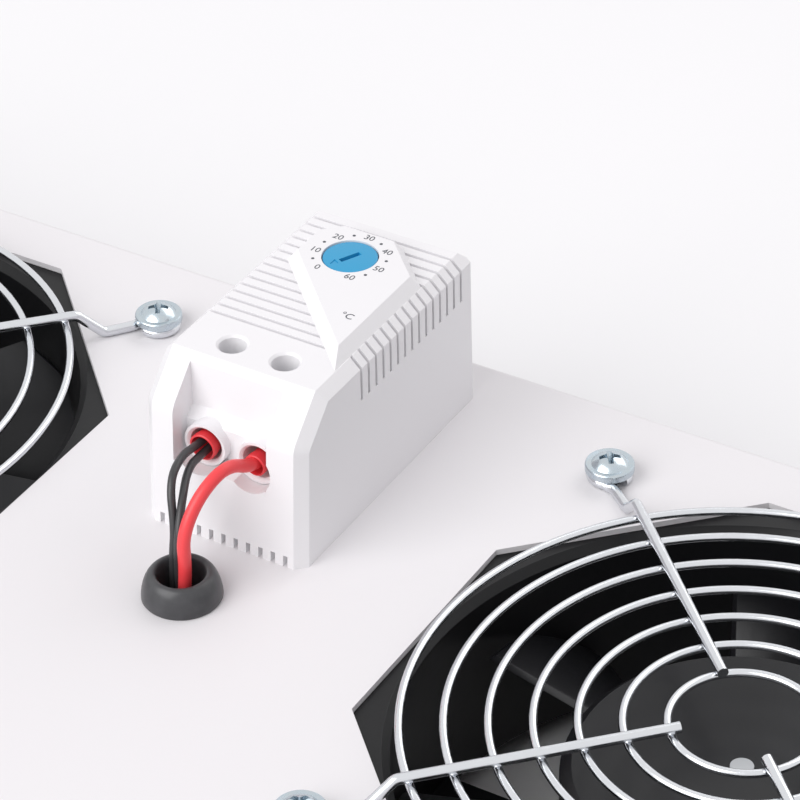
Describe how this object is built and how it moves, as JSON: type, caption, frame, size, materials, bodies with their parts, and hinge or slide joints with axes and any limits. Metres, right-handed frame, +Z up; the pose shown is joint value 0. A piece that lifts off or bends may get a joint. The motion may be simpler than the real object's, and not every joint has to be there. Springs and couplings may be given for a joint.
{
  "type": "rack fan tray",
  "caption": "Low rack-mount tray that carries axial fans under wire finger guards, with a set-dial thermostat on its deck.",
  "frame": {"origin": "centre of the rack-hole pattern, in the rear face of the front panel", "axes": "+X to the right seen from the front, +Y to the rear of the rack, +Z up"},
  "size_m": [0.4826, 0.155, 0.0785],
  "materials": {
    "tray_paint": "light grey fine-texture powder coat",
    "zinc_steel": "bright zinc plate",
    "fan_black": "black painted die-cast aluminium",
    "impeller_black": "moulded black",
    "motor_steel": "ground",
    "bearing_bronze": "sintered bronze",
    "stator_core": "varnished laminations",
    "guard_wire": "bright nickel-chrome plate",
    "thermostat_white": "moulded, fine satin",
    "dial_blue": "moulded, satin",
    "terminal_brass": "bright",
    "bimetal": "rolled strip",
    "ferrule_red": "moulded",
    "tinned_copper": "tin plate",
    "grommet_rubber": "matt moulded",
    "strip_white": "moulded polyamide",
    "inlet_black": "moulded",
    "wire_red": "extruded PVC",
    "wire_black": "extruded PVC",
    "wire_brown": "extruded PVC",
    "wire_blue": "extruded PVC",
    "wire_green": "extruded PVC"
  },
  "bodies": {
    "tray": {"tray_body": "tray_paint", "front_panel": "tray_paint", "fan_screws": "zinc_steel", "fan_nuts": "zinc_steel", "panel_screws": "zinc_steel", "panel_nuts": "zinc_steel", "fan_frame_left": "fan_black", "fan_frame_right": "fan_black", "fan_bearings_left": "bearing_bronze", "fan_bearings_right": "bearing_bronze", "fan_stator_left": "stator_core", "fan_stator_right": "stator_core", "finger_guard_left": "guard_wire", "finger_guard_right": "guard_wire", "thermostat_housing": "thermostat_white", "thermostat_base": "thermostat_white", "terminal_block": "thermostat_white", "terminal_clamps": "terminal_brass", "terminal_screws": "zinc_steel", "bimetal_strip": "bimetal", "bimetal_post": "bimetal", "switch_block": "thermostat_white", "thermostat_screws": "zinc_steel", "ferrule_collar_black": "ferrule_red", "ferrule_pin_black": "tinned_copper", "ferrule_collar_red": "ferrule_red", "ferrule_pin_red": "tinned_copper", "cable_grommet": "grommet_rubber", "strip_fixing": "zinc_steel", "terminal_strip": "strip_white", "strip_tubes": "terminal_brass", "strip_screws": "zinc_steel", "mains_inlet": "inlet_black", "inlet_pins": "terminal_brass", "inlet_screws": "zinc_steel", "inlet_nuts": "zinc_steel", "earth_stud": "zinc_steel", "earth_terminal": "tinned_copper", "earth_nut": "zinc_steel", "wire_red": "wire_red", "wire_black_left": "wire_black", "wire_black_right": "wire_black", "fan_lead_left": "wire_black", "fan_lead_right": "wire_black", "supply_live": "wire_brown", "supply_neutral": "wire_blue", "supply_earth": "wire_green"},
    "rotor_left": {"impeller_left": "impeller_black", "fan_shaft_left": "motor_steel", "rotor_cage_left": "motor_steel"},
    "rotor_right": {"impeller_right": "impeller_black", "fan_shaft_right": "motor_steel", "rotor_cage_right": "motor_steel"},
    "dial": {"thermostat_dial": "dial_blue", "dial_spindle": "thermostat_white"}
  },
  "joints": [
    {"name": "rotor_left_spin", "type": "hinge", "parent": "tray", "child": "rotor_left", "pos_m": [-0.101, 0.073, 0], "axis": [0, 0, 1], "continuous": true},
    {"name": "rotor_right_spin", "type": "hinge", "parent": "tray", "child": "rotor_right", "pos_m": [0.101, 0.073, 0], "axis": [0, 0, 1], "continuous": true},
    {"name": "dial_turn", "type": "hinge", "parent": "tray", "child": "dial", "pos_m": [-0.0015, 0.1198, 0.0555], "axis": [0, 0, 1], "range_deg": [-300, 0]}
  ]
}
